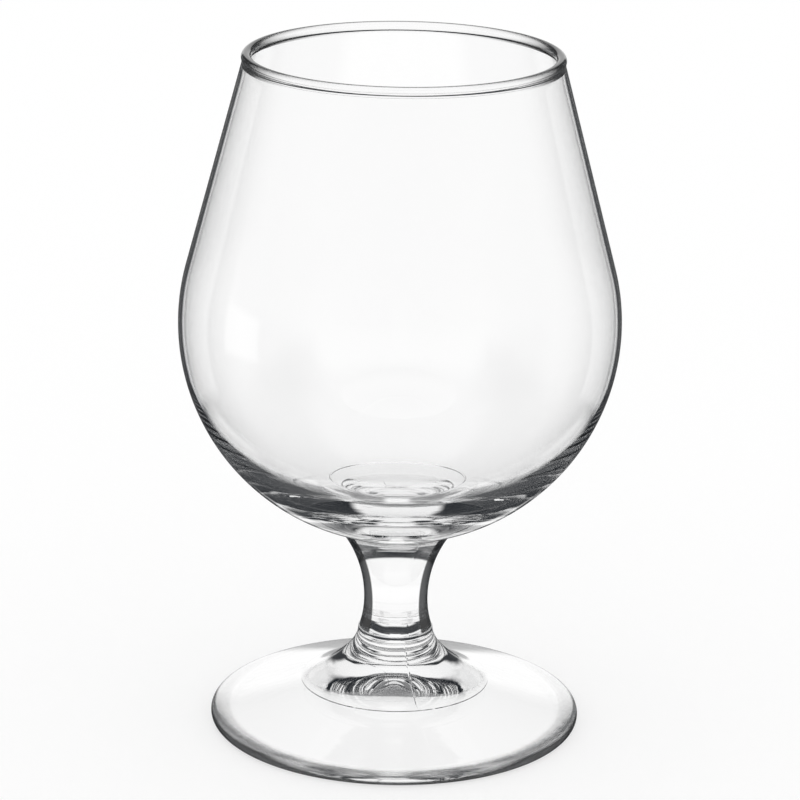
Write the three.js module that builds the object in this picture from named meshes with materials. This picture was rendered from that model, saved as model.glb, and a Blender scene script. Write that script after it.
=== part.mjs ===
// Beer snifter of clear soda-lime glass: a wide blown bowl that narrows to a fire-polished mouth,
// a short solid stem fused under it, and a pressed foot with a hollow underside fused under the stem.
// Millimetres, +Z up, with the origin on the table at the centre of the foot.
import * as THREE from "three";

// Foot
const FOOT_DIAMETER = 78.6;
const FOOT_HEIGHT = 20.8;
const FOOT_EDGE_THICKNESS = 3.2;
const FOOT_RING_DIAMETER = 40.0;
const FOOT_RING_HEIGHT = 9.0;
const FOOT_RING_STEP = 0.2;
const FLARE_RING_TENSION = 0.25;
const FLARE_SHOULDER_TENSION = 0.3;
const REST_RING_WIDTH = 3.0;
const HOLLOW_SLOPE = THREE.MathUtils.degToRad(15);
const HOLLOW_CROWN_RADIUS = 20.0;
const FUSION_STEP = 0.2;

// Stem
const STEM_LENGTH = 23.0;
const STEM_WAIST_DIAMETER = 13.5;
const STEM_WAIST_HEIGHT = 6.2;
const STEM_FOOT_END_SPREAD = 0.95;
const STEM_BOWL_END_SPREAD = 6.45;
const BOWL_FILLET_RADIUS = 1.2;

// Bowl
const BOWL_HEIGHT = 101.2;
const BOWL_DIAMETER = 92.2;
const MOUTH_DIAMETER = 66.3;
const WALL_THICKNESS = 1.2;
const RIM_BEAD_SWELL = 0.45;
const RIM_NECK_FILLET = 2.5;
const FLOOR_THICKNESS = 5.7;
const FLOOR_DISH_DEPTH = 1.0;
const PLUNGER_MARK_DIAMETER = 29.0;
const PLUNGER_MARK_STEP = 0.25;
const THIN_WALL_REACH = THREE.MathUtils.degToRad(12);
const HEEL_FLOOR_SLOPE = THREE.MathUtils.degToRad(8);
const HEEL_WALL_TENSION = 0.44;
const HEEL_FLOOR_TENSION = 0.3;

// Facets
const SIDES = 48;
const CHORD_ERROR = 0.05;
const CURVE_STEPS = 8;
const SAME_POINT = 1e-6;

// Radii that neighbouring pieces share
const waistRadius = STEM_WAIST_DIAMETER / 2;
const footJointRadius = waistRadius + STEM_FOOT_END_SPREAD;
const bowlJointRadius = waistRadius + STEM_BOWL_END_SPREAD;

// A point of a half section: its distance from the upright axis, and its height.
function at(radius, height) {
  return new THREE.Vector2(radius, height);
}

// The point at an angle on a circle, with angles counted from the outward direction towards up.
function onCircle(centre, radius, angle) {
  return at(centre.x + radius * Math.cos(angle), centre.y + radius * Math.sin(angle));
}

// An arc in steps short enough that no chord leaves the arc by more than the chord error.
function arc(centre, radius, from, to) {
  const step = 2 * Math.acos(1 - CHORD_ERROR / radius);
  const count = Math.max(1, Math.ceil(Math.abs(to - from) / step));
  return Array.from({ length: count + 1 }, (_, i) => onCircle(centre, radius, from + ((to - from) * i) / count));
}

// A smooth curve that leaves its start and reaches its end along the given angles. Each tension is a
// share of the distance between the two ends.
function sweep(start, startAngle, startTension, end, endAngle, endTension) {
  const span = start.distanceTo(end);
  const startPull = onCircle(start, span * startTension, startAngle);
  const endPull = onCircle(end, -span * endTension, endAngle);
  return new THREE.CubicBezierCurve(start, startPull, endPull, end).getPoints(CURVE_STEPS);
}

// The radius of an arc that starts square to its axis and moves aside by a rise over a length.
function arcRadius(length, rise) {
  return (length ** 2 + rise ** 2) / (2 * rise);
}

// The angle on a circle where a straight wall that comes down and out from a point touches it.
function touchAngle(point, centre, radius) {
  const spoke = point.clone().sub(centre);
  return spoke.angle() - Math.acos(radius / spoke.length());
}

// One piece of glass, turned about the upright axis from its half section.
function glassPiece(name, section) {
  const points = section.filter((point, i) => i === 0 || point.distanceTo(section[i - 1]) > SAME_POINT);
  const geometry = new THREE.LatheGeometry(points, SIDES);
  geometry.rotateX(Math.PI / 2);
  const glass = new THREE.MeshStandardMaterial({ color: 0xe9efee, roughness: 0.04, metalness: 0 });
  const piece = new THREE.Mesh(geometry, glass);
  piece.name = name;
  return piece;
}

// The pressed foot: conical hollow with a round crown, flat resting ring, rounded edge, conical top, mould
// ring, flare, and the rounded shoulder on which the stem is fused.
function foot() {
  const edgeRadius = FOOT_EDGE_THICKNESS / 2;
  const edge = at(FOOT_DIAMETER / 2 - edgeRadius, edgeRadius);
  const hollowEdge = edge.x - REST_RING_WIDTH;
  const crownReach = HOLLOW_CROWN_RADIUS * Math.sin(HOLLOW_SLOPE);
  const crownBase = (hollowEdge - crownReach) * Math.tan(HOLLOW_SLOPE);
  const crownCentre = at(0, crownBase - HOLLOW_CROWN_RADIUS * Math.cos(HOLLOW_SLOPE));
  const ring = at(FOOT_RING_DIAMETER / 2, FOOT_RING_HEIGHT);
  const coneTop = at(ring.x, ring.y - FOOT_RING_STEP);
  const coneAngle = touchAngle(coneTop, edge, edgeRadius);
  const upCone = coneAngle + Math.PI / 2;
  const shoulderCentre = at(footJointRadius, FOOT_HEIGHT - FUSION_STEP);
  const shoulder = onCircle(shoulderCentre, FUSION_STEP, 0);
  return glassPiece("foot", [
    ...arc(crownCentre, HOLLOW_CROWN_RADIUS, Math.PI / 2, Math.PI / 2 - HOLLOW_SLOPE),
    at(hollowEdge, 0),
    ...arc(edge, edgeRadius, -Math.PI / 2, 0),
    ...arc(edge, edgeRadius, 0, coneAngle),
    coneTop,
    ...sweep(ring, upCone, FLARE_RING_TENSION, shoulder, Math.PI / 2, FLARE_SHOULDER_TENSION),
    ...arc(shoulderCentre, FUSION_STEP, 0, Math.PI / 2),
    at(0, FOOT_HEIGHT),
  ]);
}

// The solid stem: narrowest a little above the foot, spreading in one sweep to a fillet under the bowl.
// The fillet ends along the globe of the bowl.
function stem() {
  const waist = at(waistRadius, STEM_WAIST_HEIGHT);
  const lowerRadius = arcRadius(STEM_WAIST_HEIGHT, STEM_FOOT_END_SPREAD);
  const lowerCentre = at(waist.x + lowerRadius, waist.y);
  const globeAngle = -Math.acos(bowlJointRadius / (BOWL_DIAMETER / 2));
  const filletCentre = onCircle(at(bowlJointRadius, STEM_LENGTH), BOWL_FILLET_RADIUS, globeAngle);
  const reach = filletCentre.clone().sub(waist);
  const upperRadius = (reach.lengthSq() - BOWL_FILLET_RADIUS ** 2) / (2 * (reach.x - BOWL_FILLET_RADIUS));
  const upperCentre = at(waist.x + upperRadius, waist.y);
  const filletAngle = filletCentre.clone().sub(upperCentre).angle();
  return glassPiece("stem", [
    at(0, 0),
    at(footJointRadius, 0),
    ...arc(lowerCentre, lowerRadius, Math.PI + Math.asin(STEM_WAIST_HEIGHT / lowerRadius), Math.PI),
    ...arc(upperCentre, upperRadius, Math.PI, filletAngle),
    ...arc(filletCentre, BOWL_FILLET_RADIUS, filletAngle, globeAngle + Math.PI),
    at(0, STEM_LENGTH),
  ]);
}

// The blown bowl: a globe that runs tangent into a straight taper, a beaded rim with a filleted neck, a
// thin side wall that thickens at the heel, and the round mark of the plunger in its dished floor.
function bowl() {
  const outer = BOWL_DIAMETER / 2;
  const inner = outer - WALL_THICKNESS;
  const centre = at(0, Math.sqrt(outer ** 2 - bowlJointRadius ** 2));
  const beadRadius = WALL_THICKNESS / 2 + RIM_BEAD_SWELL;
  const bead = at(MOUTH_DIAMETER / 2 - beadRadius, BOWL_HEIGHT - beadRadius);
  const taper = touchAngle(bead, centre, (outer + inner) / 2);
  const belly = Math.min(0, taper);
  const neckReach = beadRadius + RIM_NECK_FILLET;
  const neckAngle = Math.acos((WALL_THICKNESS / 2 + RIM_NECK_FILLET) / neckReach);
  const outerNeck = onCircle(bead, neckReach, taper - neckAngle);
  const innerNeck = onCircle(bead, neckReach, taper + Math.PI + neckAngle);
  const heel = onCircle(centre, inner, -THIN_WALL_REACH);
  const downWall = -THIN_WALL_REACH - Math.PI / 2;
  const dishEdge = FLOOR_THICKNESS + FLOOR_DISH_DEPTH;
  const mark = at(PLUNGER_MARK_DIAMETER / 2, dishEdge + PLUNGER_MARK_STEP);
  const downFloor = HEEL_FLOOR_SLOPE + Math.PI;
  const dishRadius = arcRadius(mark.x, FLOOR_DISH_DEPTH);
  const dishCentre = at(0, FLOOR_THICKNESS + dishRadius);
  return glassPiece("bowl", [
    at(0, 0),
    at(bowlJointRadius, 0),
    ...arc(centre, outer, -Math.acos(bowlJointRadius / outer), belly),
    ...arc(centre, outer, belly, taper),
    ...arc(outerNeck, RIM_NECK_FILLET, taper + Math.PI, taper + Math.PI - neckAngle),
    ...arc(bead, beadRadius, taper - neckAngle, Math.PI / 2),
    ...arc(bead, beadRadius, Math.PI / 2, taper + Math.PI + neckAngle),
    ...arc(innerNeck, RIM_NECK_FILLET, taper + neckAngle, taper),
    ...arc(centre, inner, taper, -THIN_WALL_REACH),
    ...sweep(heel, downWall, HEEL_WALL_TENSION, mark, downFloor, HEEL_FLOOR_TENSION),
    ...arc(dishCentre, dishRadius, -Math.acos(mark.x / dishRadius), -Math.PI / 2),
    at(0, FLOOR_THICKNESS),
  ]);
}

// Each piece stands on the one that it is fused to.
const snifter = new THREE.Group();
const stemPiece = stem();
const bowlPiece = bowl();
stemPiece.position.z = FOOT_HEIGHT;
bowlPiece.position.z = FOOT_HEIGHT + STEM_LENGTH;
snifter.add(foot(), stemPiece, bowlPiece);

export default snifter;
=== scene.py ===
import bpy
import cmath
import math
from mathutils import Matrix, Vector


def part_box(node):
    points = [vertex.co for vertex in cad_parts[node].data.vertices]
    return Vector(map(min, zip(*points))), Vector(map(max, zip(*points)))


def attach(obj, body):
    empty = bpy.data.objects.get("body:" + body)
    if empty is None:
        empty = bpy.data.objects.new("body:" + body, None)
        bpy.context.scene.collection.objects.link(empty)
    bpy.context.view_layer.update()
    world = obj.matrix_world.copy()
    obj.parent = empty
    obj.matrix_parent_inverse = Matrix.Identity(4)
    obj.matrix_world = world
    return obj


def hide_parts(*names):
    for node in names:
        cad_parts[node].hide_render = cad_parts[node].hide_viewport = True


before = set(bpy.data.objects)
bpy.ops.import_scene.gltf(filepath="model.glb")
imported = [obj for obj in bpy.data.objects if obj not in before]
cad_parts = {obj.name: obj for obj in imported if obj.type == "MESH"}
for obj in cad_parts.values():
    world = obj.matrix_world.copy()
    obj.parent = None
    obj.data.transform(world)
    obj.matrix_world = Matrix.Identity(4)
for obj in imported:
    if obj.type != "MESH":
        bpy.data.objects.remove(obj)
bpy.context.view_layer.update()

# The bowl. Clear soda-lime glass, pressed to a thick gob by a plunger and then blown while it turns in
# its mould, so its side has no seam. The heel stays heavy, the side wall is thin, and the cut mouth is
# melted round in a flame.
MM = 0.001
bowl_low, bowl_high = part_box("bowl")
BOWL_RADIUS = bowl_high.x
BOWL_JOINT_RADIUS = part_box("stem")[1].x
MOUTH_RADIUS = 33.15 * MM
WALL_THICKNESS = 1.2 * MM
RIM_BEAD_SWELL = 0.45 * MM
RIM_NECK_FILLET = 2.5 * MM
FLOOR_THICKNESS = 5.7 * MM
FLOOR_DISH_DEPTH = 1.0 * MM
PLUNGER_MARK_RADIUS = 14.5 * MM
PLUNGER_MARK_STEP = 0.25 * MM
THIN_WALL_REACH = math.radians(12)
HEEL_FLOOR_SLOPE = math.radians(8)
HEEL_WALL_TENSION = 0.44
HEEL_FLOOR_TENSION = 0.30
CHORD_ERROR = 0.003 * MM
STRAIGHT_STEP = 1.5 * MM
CURVE_STEPS = 96
SIDES = 256
CREASE_ANGLE = math.radians(25)
SAME_POINT = 0.001 * MM
HAIRLINE = 0.002 * MM


def arc(centre, radius, start, end):
    """Points of a half section along an arc. A point is its distance from the axis + 1j * its height."""
    step = 2 * math.acos(1 - CHORD_ERROR / radius)
    count = max(2, math.ceil(abs(end - start) / step))
    return [centre + cmath.rect(radius, start + (end - start) * i / count) for i in range(count + 1)]


def straight(start, end):
    """Points along a straight wall, in short even steps."""
    count = max(1, math.ceil(abs(end - start) / STRAIGHT_STEP))
    return [start + (end - start) * i / count for i in range(count + 1)]


def sweep(start, start_angle, start_tension, end, end_angle, end_tension):
    """A smooth curve between two points along given angles; a tension is a share of their distance."""
    span = abs(end - start)
    start_pull = start + cmath.rect(span * start_tension, start_angle)
    end_pull = end - cmath.rect(span * end_tension, end_angle)
    shares = [i / CURVE_STEPS for i in range(CURVE_STEPS + 1)]
    return [
        start * (1 - t) ** 3
        + 3 * start_pull * t * (1 - t) ** 2
        + 3 * end_pull * t * t * (1 - t)
        + end * t ** 3
        for t in shares
    ]


def arc_radius(length, rise):
    """The radius of an arc that starts square to its axis and moves aside by a rise over a length."""
    return (length ** 2 + rise ** 2) / (2 * rise)


def touch_angle(point, centre, radius):
    """The angle on a circle where a straight wall that comes down and out from a point touches it."""
    spoke = point - centre
    return cmath.phase(spoke) - math.acos(radius / abs(spoke))


def add_node(tree, kind, inputs=None, **settings):
    """Adds a node, sets its own settings, and fills or links its input sockets."""
    new = tree.nodes.new(kind)
    for name, value in settings.items():
        setattr(new, name, value)
    for name, value in (inputs or {}).items():
        if isinstance(value, bpy.types.NodeSocket):
            tree.links.new(value, new.inputs[name])
        else:
            new.inputs[name].default_value = value
    return new


def linear(hex_colour):
    """An sRGB hex colour as linear RGBA."""
    channels = [int(hex_colour[i:i + 2], 16) / 255 for i in (1, 3, 5)]
    return [c / 12.92 if c <= 0.04045 else ((c + 0.055) / 1.055) ** 2.4 for c in channels] + [1.0]


# Blown soda-lime glass: colourless and bright. Slow flow waves, drawn out sideways by the turning mould,
# break the light in the heavy heel into streaks and leave the thin side wall calm. A fine burr shows the
# plunger's mark all the way round. The outline carries painted shade: a dark line in the glass's colour,
# broad at the thick rim bead.
CLEAR_COLOUR = "#ffffff"
PAINTED_SHADE_COLOUR = "#0a0b0c"
SODA_LIME_IOR = 1.52
FLOW_WAVE_LENGTH = 10 * MM
FLOW_WAVE_DEPTH = 0.03 * MM
FLOW_STRETCH = 2.5
WAVE_DETAIL = 2.0
WALL_WAVE_SHARE = 0.04
HEEL_TOP = 68 * MM
HEEL_FADE = 8 * MM
MARK_BURR_WIDTH = 0.5 * MM
MARK_BURR_HEIGHT = 0.2 * MM
BEAD_HEIGHT = 2.5 * MM
WALL_EDGE = (0.8, 0.9)
BEAD_EDGE = (0.25, 0.65)


def paint_edge_shade(material, normal, start, end, strength):
    """Paints shade into the base colour of glass: a dark edge from start to end as its normal turns away
    from the eye.
    """
    tree = material.node_tree
    away = add_node(tree, "ShaderNodeLayerWeight", {"Normal": normal})
    inner = add_node(tree, "ShaderNodeNewGeometry").outputs["Backfacing"]
    outer = add_node(tree, "ShaderNodeMath", {0: 1.0, 1: inner}, operation="SUBTRACT")
    outer = add_node(tree, "ShaderNodeMath", {0: outer.outputs[0], 1: strength}, operation="MULTIPLY")
    share = add_node(tree, "ShaderNodeMapRange", {
        "Value": away.outputs["Facing"],
        "From Min": start,
        "From Max": end,
        "To Max": outer.outputs[0],
    }, interpolation_type="SMOOTHSTEP")
    # Painted shade: the base colour goes from clear to near black towards the edge.
    painted_shade = add_node(tree, "ShaderNodeMix", {
        "Factor": share.outputs[0],
        "A": linear(CLEAR_COLOUR),
        "B": linear(PAINTED_SHADE_COLOUR),
    }, data_type="RGBA")
    tree.links.new(painted_shade.outputs["Result"], tree.nodes["Principled BSDF"].inputs["Base Color"])


blown_glass = bpy.data.materials.new("blown_soda_lime_glass")
blown_glass.use_nodes = True
tree = blown_glass.node_tree
shader = tree.nodes["Principled BSDF"]
shader.inputs["Roughness"].default_value = 0.0
shader.inputs["IOR"].default_value = SODA_LIME_IOR
shader.inputs["Transmission Weight"].default_value = 1.0
place = add_node(tree, "ShaderNodeTexCoord").outputs["Object"]
drawn_out = add_node(tree, "ShaderNodeVectorMath", {
    0: place,
    1: (1.0, 1.0, FLOW_STRETCH),
}, operation="MULTIPLY")
waves = add_node(tree, "ShaderNodeTexNoise", {
    "Vector": drawn_out.outputs[0],
    "Scale": 1 / FLOW_WAVE_LENGTH,
    "Detail": WAVE_DETAIL,
})
height = add_node(tree, "ShaderNodeSeparateXYZ", {0: place}).outputs["Z"]
floor_height = bowl_low.z + FLOOR_THICKNESS
wave_share = add_node(tree, "ShaderNodeMapRange", {
    "Value": height,
    "From Min": floor_height,
    "From Max": HEEL_TOP,
    "To Min": 1.0,
    "To Max": WALL_WAVE_SHARE,
}, interpolation_type="SMOOTHSTEP")
flow = add_node(tree, "ShaderNodeBump", {
    "Strength": wave_share.outputs[0],
    "Distance": FLOW_WAVE_DEPTH,
    "Height": waves.outputs[0],
})
from_axis = add_node(tree, "ShaderNodeVectorMath", {0: place, 1: (1.0, 1.0, 0.0)}, operation="MULTIPLY")
from_axis = add_node(tree, "ShaderNodeVectorMath", {0: from_axis.outputs[0]}, operation="LENGTH")
off_mark = add_node(tree, "ShaderNodeMath", {
    0: from_axis.outputs["Value"],
    1: PLUNGER_MARK_RADIUS + MARK_BURR_WIDTH / 2,
}, operation="SUBTRACT")
off_mark = add_node(tree, "ShaderNodeMath", {0: off_mark.outputs[0]}, operation="ABSOLUTE")
on_floor = add_node(tree, "ShaderNodeMath", {0: height, 1: floor_height}, operation="GREATER_THAN")
burr = add_node(tree, "ShaderNodeMapRange", {
    "Value": off_mark.outputs[0],
    "From Max": MARK_BURR_WIDTH / 2,
    "To Min": on_floor.outputs[0],
    "To Max": 0.0,
}, interpolation_type="SMOOTHSTEP")
marked = add_node(tree, "ShaderNodeBump", {
    "Distance": MARK_BURR_HEIGHT,
    "Height": burr.outputs[0],
    "Normal": flow.outputs[0],
})
tree.links.new(marked.outputs[0], shader.inputs["Normal"])
# Painted shade: a dark base colour on the outline of the wall above the heel, broader on the rim bead.
in_bead = add_node(tree, "ShaderNodeMath", {
    0: height,
    1: bowl_high.z - BEAD_HEIGHT,
}, operation="GREATER_THAN")
edge_limits = []
for on_wall, on_bead in zip(WALL_EDGE, BEAD_EDGE):
    limit = add_node(tree, "ShaderNodeMix", {"Factor": in_bead.outputs[0], "A": on_wall, "B": on_bead})
    edge_limits.append(limit.outputs["Result"])
above_heel = add_node(tree, "ShaderNodeMapRange", {
    "Value": height,
    "From Min": HEEL_TOP - HEEL_FADE,
    "From Max": HEEL_TOP + HEEL_FADE,
})
normal = add_node(tree, "ShaderNodeNewGeometry").outputs["Normal"]
paint_edge_shade(blown_glass, normal, *edge_limits, above_heel.outputs[0])

# Fused soda-lime glass: the faces inside a joint. Glass meets glass there, so light passes straight through
# and the joint can't be seen.
fused_glass = bpy.data.materials.new("fused_soda_lime_glass")
fused_glass.use_nodes = True
tree = fused_glass.node_tree
tree.nodes.remove(tree.nodes["Principled BSDF"])
unseen = add_node(tree, "ShaderNodeBsdfTransparent", {"Color": linear(CLEAR_COLOUR)})
tree.links.new(unseen.outputs[0], tree.nodes["Material Output"].inputs["Surface"])


def turned_glass_tree():
    """A tree that turns a half section, given as a wire, into a closed round piece of glass."""
    tree = bpy.data.node_groups.new("turned_glass", "GeometryNodeTree")
    tree.interface.new_socket("Section", in_out="INPUT", socket_type="NodeSocketGeometry")
    tree.interface.new_socket("Sides", in_out="INPUT", socket_type="NodeSocketInt")
    tree.interface.new_socket("Low Joint", in_out="INPUT", socket_type="NodeSocketFloat")
    tree.interface.new_socket("High Joint", in_out="INPUT", socket_type="NodeSocketFloat")
    tree.interface.new_socket("Glass", in_out="INPUT", socket_type="NodeSocketMaterial")
    tree.interface.new_socket("Fused", in_out="INPUT", socket_type="NodeSocketMaterial")
    tree.interface.new_socket("Piece", in_out="OUTPUT", socket_type="NodeSocketGeometry")
    given = add_node(tree, "NodeGroupInput").outputs
    size = add_node(tree, "GeometryNodeAttributeDomainSize", {"Geometry": given["Section"]})
    around = add_node(tree, "ShaderNodeMath", {0: given["Sides"], 1: 1.0}, operation="ADD")
    grid = add_node(tree, "GeometryNodeMeshGrid", {
        "Vertices X": size.outputs["Point Count"],
        "Vertices Y": around.outputs[0],
    })
    index = add_node(tree, "GeometryNodeInputIndex").outputs[0]
    row = add_node(tree, "ShaderNodeMath", {0: index, 1: around.outputs[0]}, operation="DIVIDE")
    row = add_node(tree, "ShaderNodeMath", {0: row.outputs[0]}, operation="FLOOR")
    column = add_node(tree, "ShaderNodeMath", {0: index, 1: around.outputs[0]}, operation="MODULO")
    turn = add_node(tree, "ShaderNodeMath", {0: column.outputs[0], 1: given["Sides"]}, operation="DIVIDE")
    turn = add_node(tree, "ShaderNodeMath", {0: turn.outputs[0], 1: -math.tau}, operation="MULTIPLY")
    place = add_node(tree, "GeometryNodeInputPosition").outputs[0]
    wire = add_node(tree, "GeometryNodeSampleIndex", {
        "Geometry": given["Section"],
        "Index": row.outputs[0],
    }, data_type="FLOAT_VECTOR")
    tree.links.new(place, wire.inputs["Value"])
    spun = add_node(tree, "ShaderNodeVectorRotate", {
        "Vector": wire.outputs["Value"],
        "Angle": turn.outputs[0],
    }, rotation_type="Z_AXIS")
    solid = add_node(tree, "GeometryNodeSetPosition", {
        "Geometry": grid.outputs["Mesh"],
        "Position": spun.outputs[0],
    })
    closed = add_node(tree, "GeometryNodeMergeByDistance", {
        "Geometry": solid.outputs[0],
        "Distance": SAME_POINT,
    })
    smooth = add_node(tree, "GeometryNodeSetShadeSmooth", {"Geometry": closed.outputs[0]}, domain="FACE")
    bend = add_node(tree, "GeometryNodeInputMeshEdgeAngle")
    corner = add_node(tree, "FunctionNodeCompare", {
        "A": bend.outputs["Unsigned Angle"],
        "B": CREASE_ANGLE,
    }, operation="GREATER_THAN")
    creased = add_node(tree, "GeometryNodeSetShadeSmooth", {
        "Geometry": smooth.outputs[0],
        "Selection": corner.outputs[0],
        "Shade Smooth": False,
    }, domain="EDGE")
    real = add_node(tree, "GeometryNodeRealizeInstances", {"Geometry": creased.outputs[0]})
    clear = add_node(tree, "GeometryNodeSetMaterial", {
        "Geometry": real.outputs[0],
        "Material": given["Glass"],
    })
    height = add_node(tree, "ShaderNodeSeparateXYZ", {0: place}).outputs["Z"]
    joints = []
    for name in ("Low Joint", "High Joint"):
        near = add_node(tree, "ShaderNodeMath", {
            0: height,
            1: given[name],
            2: SAME_POINT,
        }, operation="COMPARE")
        joints.append(near.outputs[0])
    inside = add_node(tree, "ShaderNodeMath", {0: joints[0], 1: joints[1]}, operation="MAXIMUM")
    welded = add_node(tree, "GeometryNodeSetMaterial", {
        "Geometry": clear.outputs[0],
        "Selection": inside.outputs[0],
        "Material": given["Fused"],
    })
    add_node(tree, "NodeGroupOutput", {"Piece": welded.outputs[0]})
    return tree


turned_glass = turned_glass_tree()


def turn_piece(name, section, low_joint, high_joint, glass):
    """Turns a half section into one closed piece of glass, fitted over the CAD node of that name."""
    points = [p for i, p in enumerate(section) if i == 0 or abs(p - section[i - 1]) > SAME_POINT]
    wire = bpy.data.meshes.new(name)
    steps = [(i, i + 1) for i in range(len(points) - 1)]
    wire.from_pydata([(p.real, 0, p.imag) for p in points], steps, [])
    piece = bpy.data.objects.new(name + "_glass", wire)
    bpy.context.scene.collection.objects.link(piece)
    turning = piece.modifiers.new("turning", "NODES")
    turning.node_group = turned_glass
    given = {
        "Sides": SIDES,
        "Low Joint": low_joint,
        "High Joint": high_joint,
        "Glass": glass,
        "Fused": fused_glass,
    }
    for item in turned_glass.interface.items_tree:
        if item.name in given:
            turning[item.identifier] = given[item.name]
    depsgraph = bpy.context.evaluated_depsgraph_get()
    piece.data = bpy.data.meshes.new_from_object(piece.evaluated_get(depsgraph))
    piece.modifiers.clear()
    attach(piece, "root")
    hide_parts(name)


# The two faces of a joint stand a hairline apart, so that a ray meets one after the other.
joint_height = bowl_low.z + HAIRLINE
inner = BOWL_RADIUS - WALL_THICKNESS
centre = 1j * (joint_height + math.sqrt(BOWL_RADIUS ** 2 - BOWL_JOINT_RADIUS ** 2))
bead_radius = WALL_THICKNESS / 2 + RIM_BEAD_SWELL
bead = MOUTH_RADIUS - bead_radius + 1j * (bowl_high.z - bead_radius)
taper = touch_angle(bead, centre, (BOWL_RADIUS + inner) / 2)
neck_reach = bead_radius + RIM_NECK_FILLET
neck_angle = math.acos((WALL_THICKNESS / 2 + RIM_NECK_FILLET) / neck_reach)
outer_neck = bead + cmath.rect(neck_reach, taper - neck_angle)
inner_neck = bead + cmath.rect(neck_reach, taper + math.pi + neck_angle)
heel = centre + cmath.rect(inner, -THIN_WALL_REACH)
dish_edge = joint_height + FLOOR_THICKNESS + FLOOR_DISH_DEPTH
mark = PLUNGER_MARK_RADIUS + 1j * (dish_edge + PLUNGER_MARK_STEP)
dish_radius = arc_radius(PLUNGER_MARK_RADIUS, FLOOR_DISH_DEPTH)
dish_centre = 1j * (joint_height + FLOOR_THICKNESS + dish_radius)
turn_piece("bowl", [
    1j * joint_height,
    BOWL_JOINT_RADIUS + 1j * joint_height,
    *arc(centre, BOWL_RADIUS, -math.acos(BOWL_JOINT_RADIUS / BOWL_RADIUS), 0),
    *arc(centre, BOWL_RADIUS, 0, taper),
    *straight(centre + cmath.rect(BOWL_RADIUS, taper), outer_neck - cmath.rect(RIM_NECK_FILLET, taper)),
    *arc(outer_neck, RIM_NECK_FILLET, taper + math.pi, taper + math.pi - neck_angle),
    *arc(bead, bead_radius, taper - neck_angle, math.pi / 2),
    *arc(bead, bead_radius, math.pi / 2, taper + math.pi + neck_angle),
    *arc(inner_neck, RIM_NECK_FILLET, taper + neck_angle, taper),
    *straight(inner_neck + cmath.rect(RIM_NECK_FILLET, taper), centre + cmath.rect(inner, taper)),
    *arc(centre, inner, taper, -THIN_WALL_REACH),
    *sweep(heel, -THIN_WALL_REACH - math.pi / 2, HEEL_WALL_TENSION,
           mark, HEEL_FLOOR_SLOPE + math.pi, HEEL_FLOOR_TENSION),
    *arc(dish_centre, dish_radius, -math.acos(PLUNGER_MARK_RADIUS / dish_radius), -math.pi / 2),
], joint_height, joint_height, blown_glass)

# The stem. Solid soda-lime glass, pressed in a two-part mould: a waisted column that spreads upward in one
# sweep. Its top is fused under the bowl and its lower end on the foot while the glass is hot.
stem_low, stem_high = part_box("stem")
STEM_WAIST_RADIUS = 6.75 * MM
STEM_WAIST_HEIGHT = 6.2 * MM
FOOT_JOINT_RADIUS = 7.7 * MM
BOWL_FILLET = 1.2 * MM

# The stem's pressed soda-lime glass: bright and solid. The chill marks of the cold mould are a fine ripple
# on it, and the parting line is a hair-thin ridge on two sides. A broad dark edge along its upright sides
# is painted shade in the glass's colour.
STEM_SEAM_ANGLE = math.radians(22)
SEAM_WIDTH = 0.3 * MM
SEAM_HEIGHT = 0.06 * MM
CHILL_MARK_LENGTH = 5 * MM
CHILL_MARK_DEPTH = 0.02 * MM
STEM_EDGE = (0.335, 0.375)
UPRIGHT_SIDE = (0.65, 0.75)


def pressed_glass(name, seam_angle):
    """Glass from a press mould whose parting line lies at an angle to the right of the front."""
    material = bpy.data.materials.new(name)
    material.use_nodes = True
    tree = material.node_tree
    shader = tree.nodes["Principled BSDF"]
    shader.inputs["Roughness"].default_value = 0.0
    shader.inputs["IOR"].default_value = SODA_LIME_IOR
    shader.inputs["Transmission Weight"].default_value = 1.0
    place = add_node(tree, "ShaderNodeTexCoord").outputs["Object"]
    chill = add_node(tree, "ShaderNodeTexNoise", {
        "Vector": place,
        "Scale": 1 / CHILL_MARK_LENGTH,
        "Detail": WAVE_DETAIL,
    })
    ripple = add_node(tree, "ShaderNodeBump", {"Distance": CHILL_MARK_DEPTH, "Height": chill.outputs[0]})
    off_seam = add_node(tree, "ShaderNodeVectorMath", {
        0: place,
        1: (math.cos(seam_angle), math.sin(seam_angle), 0.0),
    }, operation="DOT_PRODUCT")
    off_seam = add_node(tree, "ShaderNodeMath", {0: off_seam.outputs["Value"]}, operation="ABSOLUTE")
    ridge = add_node(tree, "ShaderNodeMapRange", {
        "Value": off_seam.outputs[0],
        "From Max": SEAM_WIDTH,
        "To Min": 1.0,
        "To Max": 0.0,
    }, interpolation_type="SMOOTHSTEP")
    seam = add_node(tree, "ShaderNodeBump", {
        "Distance": SEAM_HEIGHT,
        "Height": ridge.outputs[0],
        "Normal": ripple.outputs[0],
    }, name="mould_seam")
    tree.links.new(seam.outputs[0], shader.inputs["Normal"])
    return material


stem_glass = pressed_glass("pressed_soda_lime_glass_stem", STEM_SEAM_ANGLE)
tree = stem_glass.node_tree
# Painted shade: a dark base colour along the upright sides, where they turn away from the eye.
normal = add_node(tree, "ShaderNodeNewGeometry").outputs["Normal"]
level = add_node(tree, "ShaderNodeVectorMath", {0: normal, 1: (1.0, 1.0, 0.0)}, operation="MULTIPLY")
upright = add_node(tree, "ShaderNodeVectorMath", {0: level.outputs[0]}, operation="LENGTH")
on_side = add_node(tree, "ShaderNodeMapRange", {
    "Value": upright.outputs["Value"],
    "From Min": UPRIGHT_SIDE[0],
    "From Max": UPRIGHT_SIDE[1],
})
level = add_node(tree, "ShaderNodeVectorMath", {0: level.outputs[0]}, operation="NORMALIZE")
paint_edge_shade(stem_glass, level.outputs[0], *STEM_EDGE, on_side.outputs[0])

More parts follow.
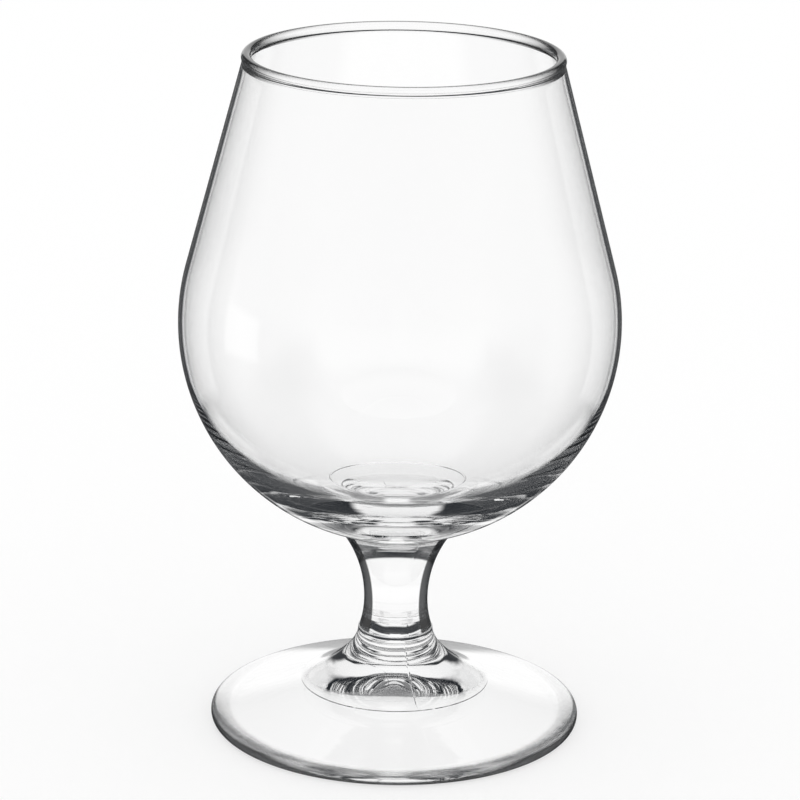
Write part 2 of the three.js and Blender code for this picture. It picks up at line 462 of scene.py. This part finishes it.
waist = STEM_WAIST_RADIUS + 1j * (stem_low.z + STEM_WAIST_HEIGHT)
lower_radius = arc_radius(STEM_WAIST_HEIGHT, FOOT_JOINT_RADIUS - STEM_WAIST_RADIUS)
lower_start = math.pi + math.asin(STEM_WAIST_HEIGHT / lower_radius)
bowl_joint = BOWL_JOINT_RADIUS + 1j * stem_high.z
globe_angle = -math.acos(BOWL_JOINT_RADIUS / BOWL_RADIUS)
fillet = bowl_joint + cmath.rect(BOWL_FILLET, globe_angle)
reach = fillet - waist
upper_radius = (abs(reach) ** 2 - BOWL_FILLET ** 2) / (2 * (reach.real - BOWL_FILLET))
upper = waist + upper_radius
fillet_start = cmath.phase(fillet - upper)
turn_piece("stem", [
    1j * stem_low.z,
    FOOT_JOINT_RADIUS + 1j * stem_low.z,
    *arc(waist + lower_radius, lower_radius, lower_start, math.pi),
    *arc(upper, upper_radius, math.pi, fillet_start),
    *arc(fillet, BOWL_FILLET, fillet_start, globe_angle + math.pi),
    1j * stem_high.z,
], stem_low.z, stem_high.z, stem_glass)

# The foot. Soda-lime glass pressed in one stroke: a shallow cone with a flare in the middle, a rounded edge
# and a hollow underside. It stands on a flat ring, and the stem is fused on the shoulder of the flare.
foot_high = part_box("foot")[1]
FOOT_RADIUS = foot_high.x
FOOT_EDGE_THICKNESS = 3.2 * MM
FOOT_RING_RADIUS = 20.0 * MM
FOOT_RING_HEIGHT = 9.0 * MM
FOOT_RING_STEP = 0.2 * MM
FLARE_RING_TENSION = 0.25
FLARE_SHOULDER_TENSION = 0.3
REST_RING_WIDTH = 3.0 * MM
HOLLOW_SLOPE = math.radians(15)
HOLLOW_CROWN_RADIUS = 20 * MM
FUSION_STEP = 0.2 * MM
edge_radius = FOOT_EDGE_THICKNESS / 2
edge = FOOT_RADIUS - edge_radius + 1j * edge_radius
hollow_edge = edge.real - REST_RING_WIDTH

# The foot's pressed soda-lime glass: bright, with the ripple and seam of its mould. The plunger leaves no
# seam in the hollow, and the flat of the cone nearly hides it. The resting ring is scuffed dull. The rounded
# edge is dark because it bends the dark of the room into view, and painted shade in the glass's colour
# darkens it further.
FOOT_SEAM_ANGLE = math.radians(15)
SEAM_CLEARANCE = 0.8 * MM
SEAM_FADE = 2 * MM
CONE_SEAM_SHARE = 0.12
SCUFF_LENGTH = 0.6 * MM
SCUFF_DETAIL = 3.0
SCUFF_ROUGHNESS = 0.35
WORN_HEIGHT = 0.25 * MM
EDGE_TURN = (0.4, 0.7)
FOOT_EDGE = (0.07, 0.28)
foot_glass = pressed_glass("pressed_soda_lime_glass_foot", FOOT_SEAM_ANGLE)
tree = foot_glass.node_tree
place = add_node(tree, "ShaderNodeTexCoord").outputs["Object"]
height = add_node(tree, "ShaderNodeSeparateXYZ", {0: place}).outputs["Z"]
from_axis = add_node(tree, "ShaderNodeVectorMath", {0: place, 1: (1.0, 1.0, 0.0)}, operation="MULTIPLY")
from_axis = add_node(tree, "ShaderNodeVectorMath", {0: from_axis.outputs[0]}, operation="LENGTH")
above_hollow = add_node(tree, "ShaderNodeMath", {
    0: from_axis.outputs["Value"],
    1: math.tan(HOLLOW_SLOPE),
    2: height,
}, operation="MULTIPLY_ADD")
on_top = add_node(tree, "ShaderNodeMath", {
    0: above_hollow.outputs[0],
    1: hollow_edge * math.tan(HOLLOW_SLOPE) + SEAM_CLEARANCE,
}, operation="GREATER_THAN")
seam_share = add_node(tree, "ShaderNodeMapRange", {
    "Value": from_axis.outputs["Value"],
    "From Min": FOOT_RING_RADIUS - SEAM_FADE,
    "From Max": FOOT_RING_RADIUS + SEAM_FADE,
    "To Min": on_top.outputs[0],
    "To Max": CONE_SEAM_SHARE,
}, interpolation_type="SMOOTHSTEP")
tree.links.new(seam_share.outputs[0], tree.nodes["mould_seam"].inputs["Strength"])
scuffs = add_node(tree, "ShaderNodeTexNoise", {
    "Vector": place,
    "Scale": 1 / SCUFF_LENGTH,
    "Detail": SCUFF_DETAIL,
})
worn = add_node(tree, "ShaderNodeMapRange", {
    "Value": height,
    "From Max": WORN_HEIGHT,
    "To Min": SCUFF_ROUGHNESS,
    "To Max": 0.0,
})
dull = add_node(tree, "ShaderNodeMath", {0: scuffs.outputs[0], 1: worn.outputs[0]}, operation="MULTIPLY")
tree.links.new(dull.outputs[0], tree.nodes["Principled BSDF"].inputs["Roughness"])
# Painted shade: a dark base colour on the rounded outer edge, except where it faces up, as it turns away
# from the eye.
normal = add_node(tree, "ShaderNodeNewGeometry").outputs["Normal"]
upward = add_node(tree, "ShaderNodeSeparateXYZ", {0: normal}).outputs["Z"]
in_edge = add_node(tree, "ShaderNodeMath", {
    0: from_axis.outputs["Value"],
    1: edge.real,
}, operation="GREATER_THAN")
edge_share = add_node(tree, "ShaderNodeMapRange", {
    "Value": upward,
    "From Min": EDGE_TURN[0],
    "From Max": EDGE_TURN[1],
    "To Min": in_edge.outputs[0],
    "To Max": 0.0,
}, interpolation_type="SMOOTHSTEP")
paint_edge_shade(foot_glass, normal, *FOOT_EDGE, edge_share.outputs[0])

crown_foot = HOLLOW_CROWN_RADIUS * math.sin(HOLLOW_SLOPE)
crown_height = (hollow_edge - crown_foot) * math.tan(HOLLOW_SLOPE)
crown_centre = 1j * (crown_height - HOLLOW_CROWN_RADIUS * math.cos(HOLLOW_SLOPE))
ring = FOOT_RING_RADIUS + 1j * FOOT_RING_HEIGHT
cone_top = ring - 1j * FOOT_RING_STEP
cone_angle = touch_angle(cone_top, edge, edge_radius)
foot_top = foot_high.z - HAIRLINE
shoulder = FOOT_JOINT_RADIUS + 1j * (foot_top - FUSION_STEP)
turn_piece("foot", [
    *arc(crown_centre, HOLLOW_CROWN_RADIUS, math.pi / 2, math.pi / 2 - HOLLOW_SLOPE),
    *straight(crown_foot + 1j * crown_height, hollow_edge),
    *arc(edge, edge_radius, -math.pi / 2, 0),
    *arc(edge, edge_radius, 0, cone_angle),
    *straight(edge + cmath.rect(edge_radius, cone_angle), cone_top),
    *sweep(ring, cone_angle + math.pi / 2, FLARE_RING_TENSION,
           shoulder + FUSION_STEP, math.pi / 2, FLARE_SHOULDER_TENSION),
    *arc(shoulder, FUSION_STEP, 0, math.pi / 2),
    1j * foot_top,
], foot_top, foot_top, foot_glass)

# The camera. A long lens from above the rim looks down on the glass, as in the photograph, and its roll
# gives the glass its slight lean in the frame. The focal length is in pixels of the photograph.
IMAGE_SIZE = 800
FOCAL_LENGTH = 3629.7
SENSOR_WIDTH = 36.0
CAMERA_PLACE = Vector((0.0, -0.7251, 0.2989))
CAMERA_PITCH = math.radians(17.45)
CAMERA_YAW = math.radians(0.02)
CAMERA_ROLL = math.radians(0.873)

camera_data = bpy.data.cameras.new("camera")
camera_data.sensor_width = SENSOR_WIDTH
camera_data.lens = SENSOR_WIDTH * FOCAL_LENGTH / IMAGE_SIZE
camera = bpy.data.objects.new("camera", camera_data)
bpy.context.scene.collection.objects.link(camera)
turned = Matrix.Rotation(-CAMERA_YAW, 4, "Z") @ Matrix.Rotation(math.pi / 2 - CAMERA_PITCH, 4, "X")
camera.matrix_world = Matrix.Translation(CAMERA_PLACE) @ turned @ Matrix.Rotation(CAMERA_ROLL, 4, "Z")
bpy.context.scene.camera = camera

# The studio. A matt white floor under an even white sky, as clear glass is often photographed. The glass
# sees white panels with a dark room between them, because it shows its form by the dark lines that it bends
# into view; painted shade in the glass's colour darkens some of its edges besides. What a ray meets depends
# on how often it was bent and reflected.
BACKDROP_COLOUR = "#ffffff"
ROOM_COLOUR = "#26292d"
FLOOR_SIZE = 6.0
FLOOR_GLOW = 0.6
SHADOW_LEVEL = 0.9
LIGHT_BOUNCES = 48
WALL_FACES = 2

# Bearings and heights are in degrees. Bearing 0 lies behind the glass and 180 at the camera. The room is
# dark behind the glass and turns white to the sides and towards the camera. A panel that goes all round,
# or past straight up or down, has no edge there.
ALL_ROUND = (-200, 200)
UNDERFOOT = -130
OVERHEAD = 130
DARK_FLOOR_LEVEL = 0.03
DARK_WALL_LEVEL = 0.12
FLOOR_TO_WALL = (-25.0, -15.0)
BACK_TO_SIDE = (28.0, 88.0)
REAR_WALL_TOP = (12.0, 32.0)
REAR_CEILING_LEVEL = 0.15
OUTER_WALL_TOP = (20.0, 40.0)

scene = bpy.context.scene
scene.view_settings.view_transform = "Standard"
scene.cycles.max_bounces = LIGHT_BOUNCES
scene.cycles.transmission_bounces = LIGHT_BOUNCES
scene.cycles.glossy_bounces = LIGHT_BOUNCES

world = bpy.data.worlds.new("studio")
scene.world = world
world.use_nodes = True
sky = world.node_tree
looking = add_node(sky, "ShaderNodeTexCoord").outputs["Generated"]
x, y, z = add_node(sky, "ShaderNodeSeparateXYZ", {"Vector": looking}).outputs
bearing = add_node(sky, "ShaderNodeMath", {0: x, 1: y}, operation="ARCTAN2")
bearing = add_node(sky, "ShaderNodeMath", {0: bearing.outputs[0]}, operation="DEGREES").outputs[0]
height = add_node(sky, "ShaderNodeMath", {0: z}, operation="ARCSINE")
height = add_node(sky, "ShaderNodeMath", {0: height.outputs[0]}, operation="DEGREES").outputs[0]
ray = add_node(sky, "ShaderNodeLightPath").outputs
bent = ray["Transmission Depth"]
entered = add_node(sky, "ShaderNodeMath", {0: bent, 1: 0.0}, operation="GREATER_THAN")
crossed = add_node(sky, "ShaderNodeMath", {0: bent, 1: WALL_FACES}, operation="GREATER_THAN")
reflected = add_node(sky, "ShaderNodeMath", {0: ray["Glossy Depth"], 1: 0.0}, operation="GREATER_THAN")
scattered = add_node(sky, "ShaderNodeMath", {0: ray["Diffuse Depth"], 1: 0.0}, operation="GREATER_THAN")


def white_panels(level, panels):
    """A level, or that of a brighter panel: its left, right, bottom, top, soft edge and own level."""
    for left, right, bottom, top, edge, lit in panels:
        aside = add_node(sky, "ShaderNodeMath", {0: bearing, 1: (left + right) / 2}, operation="SUBTRACT")
        aside = add_node(sky, "ShaderNodeMath", {0: aside.outputs[0], 1: 180.0, 2: -180.0}, operation="WRAP")
        above = add_node(sky, "ShaderNodeMath", {0: height, 1: (bottom + top) / 2}, operation="SUBTRACT")
        for offset, size in ((aside, right - left), (above, top - bottom)):
            distance = add_node(sky, "ShaderNodeMath", {0: offset.outputs[0]}, operation="ABSOLUTE")
            share = add_node(sky, "ShaderNodeMapRange", {
                "Value": distance.outputs[0],
                "From Min": (size - edge) / 2,
                "From Max": (size + edge) / 2,
                "To Min": lit,
                "To Max": 0.0,
            }, interpolation_type="SMOOTHSTEP")
            lit = share.outputs[0]
        level = add_node(sky, "ShaderNodeMath", {0: level, 1: lit}, operation="MAXIMUM").outputs[0]
    return level


# Seen straight through the glass, the backdrop is white up to a height and dark above it.
solid_view = white_panels(0.0, [(*ALL_ROUND, UNDERFOOT, 15.75, 3.5, 1.0)])
wall_view = white_panels(0.0, [(*ALL_ROUND, UNDERFOOT, 10, 4, 1.0)])

# Seen by a reflection inside the heel, the stem, the foot or one wall.
inside = white_panels(0.0, [
    (-9, 9, -55, 23, 5, 1.0),
    (-50, 50, -48, -30, 8, 1.0),
    (-17, 17, -2, 22, 4, 1.0),
    (-16, 16, 14, 50, 6, 1.0),
    (-62, -24, -27, 4, 4, 1.0),
    (24, 62, -27, 4, 4, 1.0),
    (-102, -78, -14, 3, 4, 1.0),
    (130, 230, -65, 8, 20, 1.0),
    (*ALL_ROUND, 56, OVERHEAD, 12, 0.75),
])

# Seen by a reflection at the far side of the glass, through the near wall.
dark = add_node(sky, "ShaderNodeMapRange", {
    "Value": height,
    "From Min": FLOOR_TO_WALL[0],
    "From Max": FLOOR_TO_WALL[1],
    "To Min": DARK_FLOOR_LEVEL,
    "To Max": DARK_WALL_LEVEL,
}, interpolation_type="SMOOTHSTEP")
aside = add_node(sky, "ShaderNodeMath", {0: bearing}, operation="ABSOLUTE")
room = add_node(sky, "ShaderNodeMapRange", {
    "Value": aside.outputs[0],
    "From Min": BACK_TO_SIDE[0],
    "From Max": BACK_TO_SIDE[1],
    "To Min": dark.outputs[0],
    "To Max": 1.0,
}, interpolation_type="SMOOTHSTEP")
rear_share = add_node(sky, "ShaderNodeMapRange", {
    "Value": height,
    "From Min": REAR_WALL_TOP[0],
    "From Max": REAR_WALL_TOP[1],
    "To Min": 1.0,
    "To Max": REAR_CEILING_LEVEL,
}, interpolation_type="SMOOTHSTEP")
rear_wall = add_node(sky, "ShaderNodeMath", {
    0: room.outputs[0],
    1: rear_share.outputs[0],
}, operation="MULTIPLY")
rear = white_panels(rear_wall.outputs[0], [
    (-9, 9, -42, 2, 6, 1.0),
    (124, 236, -10, 48, 20, 1.0),
    (-75, 75, -95, -45, 10, 1.0),
])

# Seen by a reflection off the outside. A grey strip along the horizon, on the camera's side, keeps the
# outline of the glass in view from behind.
grey = white_panels(0.0, [(100, 260, -26, 6, 16, 0.5)])
white = add_node(sky, "ShaderNodeMath", {0: 1.0, 1: grey}, operation="SUBTRACT")
outer_wall = add_node(sky, "ShaderNodeMath", {
    0: room.outputs[0],
    1: white.outputs[0],
}, operation="MULTIPLY")
outer_wall = add_node(sky, "ShaderNodeMapRange", {
    "Value": height,
    "From Min": OUTER_WALL_TOP[0],
    "From Max": OUTER_WALL_TOP[1],
    "To Min": outer_wall.outputs[0],
    "To Max": 0.0,
}, interpolation_type="SMOOTHSTEP")
outside = white_panels(outer_wall.outputs[0], [
    (-16, 16, -7, 28, 5, 1.0),
    (-14, 14, -70, -30, 4, 1.0),
    (*ALL_ROUND, 57.5, OVERHEAD, 25, 0.3),
])

# Each switch that is on replaces the level before it.
clear = add_node(sky, "ShaderNodeMix", {"Factor": crossed.outputs[0], "A": solid_view, "B": wall_view})
mirrored = add_node(sky, "ShaderNodeMix", {"Factor": entered.outputs[0], "A": outside, "B": inside})
mirrored = add_node(sky, "ShaderNodeMix", {
    "Factor": crossed.outputs[0],
    "A": mirrored.outputs["Result"],
    "B": rear,
})
shadow = add_node(sky, "ShaderNodeMix", {"Factor": entered.outputs[0], "A": 1.0, "B": SHADOW_LEVEL})
level = add_node(sky, "ShaderNodeMix", {
    "Factor": reflected.outputs[0],
    "A": clear.outputs["Result"],
    "B": mirrored.outputs["Result"],
})
level = add_node(sky, "ShaderNodeMix", {
    "Factor": scattered.outputs[0],
    "A": level.outputs["Result"],
    "B": shadow.outputs["Result"],
})
level = add_node(sky, "ShaderNodeMix", {
    "Factor": ray["Is Camera Ray"],
    "A": level.outputs["Result"],
    "B": 1.0,
})
shade = add_node(sky, "ShaderNodeMix", {
    "Factor": level.outputs["Result"],
    "A": linear(ROOM_COLOUR),
    "B": linear(BACKDROP_COLOUR),
}, data_type="RGBA")
sky.links.new(shade.outputs["Result"], sky.nodes["Background"].inputs["Color"])

# Matt white floor paint: it takes the soft shadow of the glass, and glows a little to the camera, so that
# it is nearly as white as the sky.
side = FLOOR_SIZE / 2
corners = [(-side, -side, 0), (side, -side, 0), (side, side, 0), (-side, side, 0)]
floor_mesh = bpy.data.meshes.new("floor")
floor_mesh.from_pydata(corners, [], [(0, 1, 2, 3)])
floor_paint = bpy.data.materials.new("matt_white_floor_paint")
floor_paint.use_nodes = True
tree = floor_paint.node_tree
tree.nodes.remove(tree.nodes["Principled BSDF"])
matt = add_node(tree, "ShaderNodeBsdfDiffuse", {"Color": linear(BACKDROP_COLOUR)})
glow = add_node(tree, "ShaderNodeEmission", {"Color": linear(BACKDROP_COLOUR)})
seen = add_node(tree, "ShaderNodeLightPath").outputs["Is Camera Ray"]
share = add_node(tree, "ShaderNodeMath", {0: seen, 1: FLOOR_GLOW}, operation="MULTIPLY")
mixed = add_node(tree, "ShaderNodeMixShader", {0: share.outputs[0], 1: matt.outputs[0], 2: glow.outputs[0]})
tree.links.new(mixed.outputs[0], tree.nodes["Material Output"].inputs["Surface"])
floor_mesh.materials.append(floor_paint)
floor = bpy.data.objects.new("floor", floor_mesh)
scene.collection.objects.link(floor)
floor.visible_transmission = False
floor.visible_glossy = False
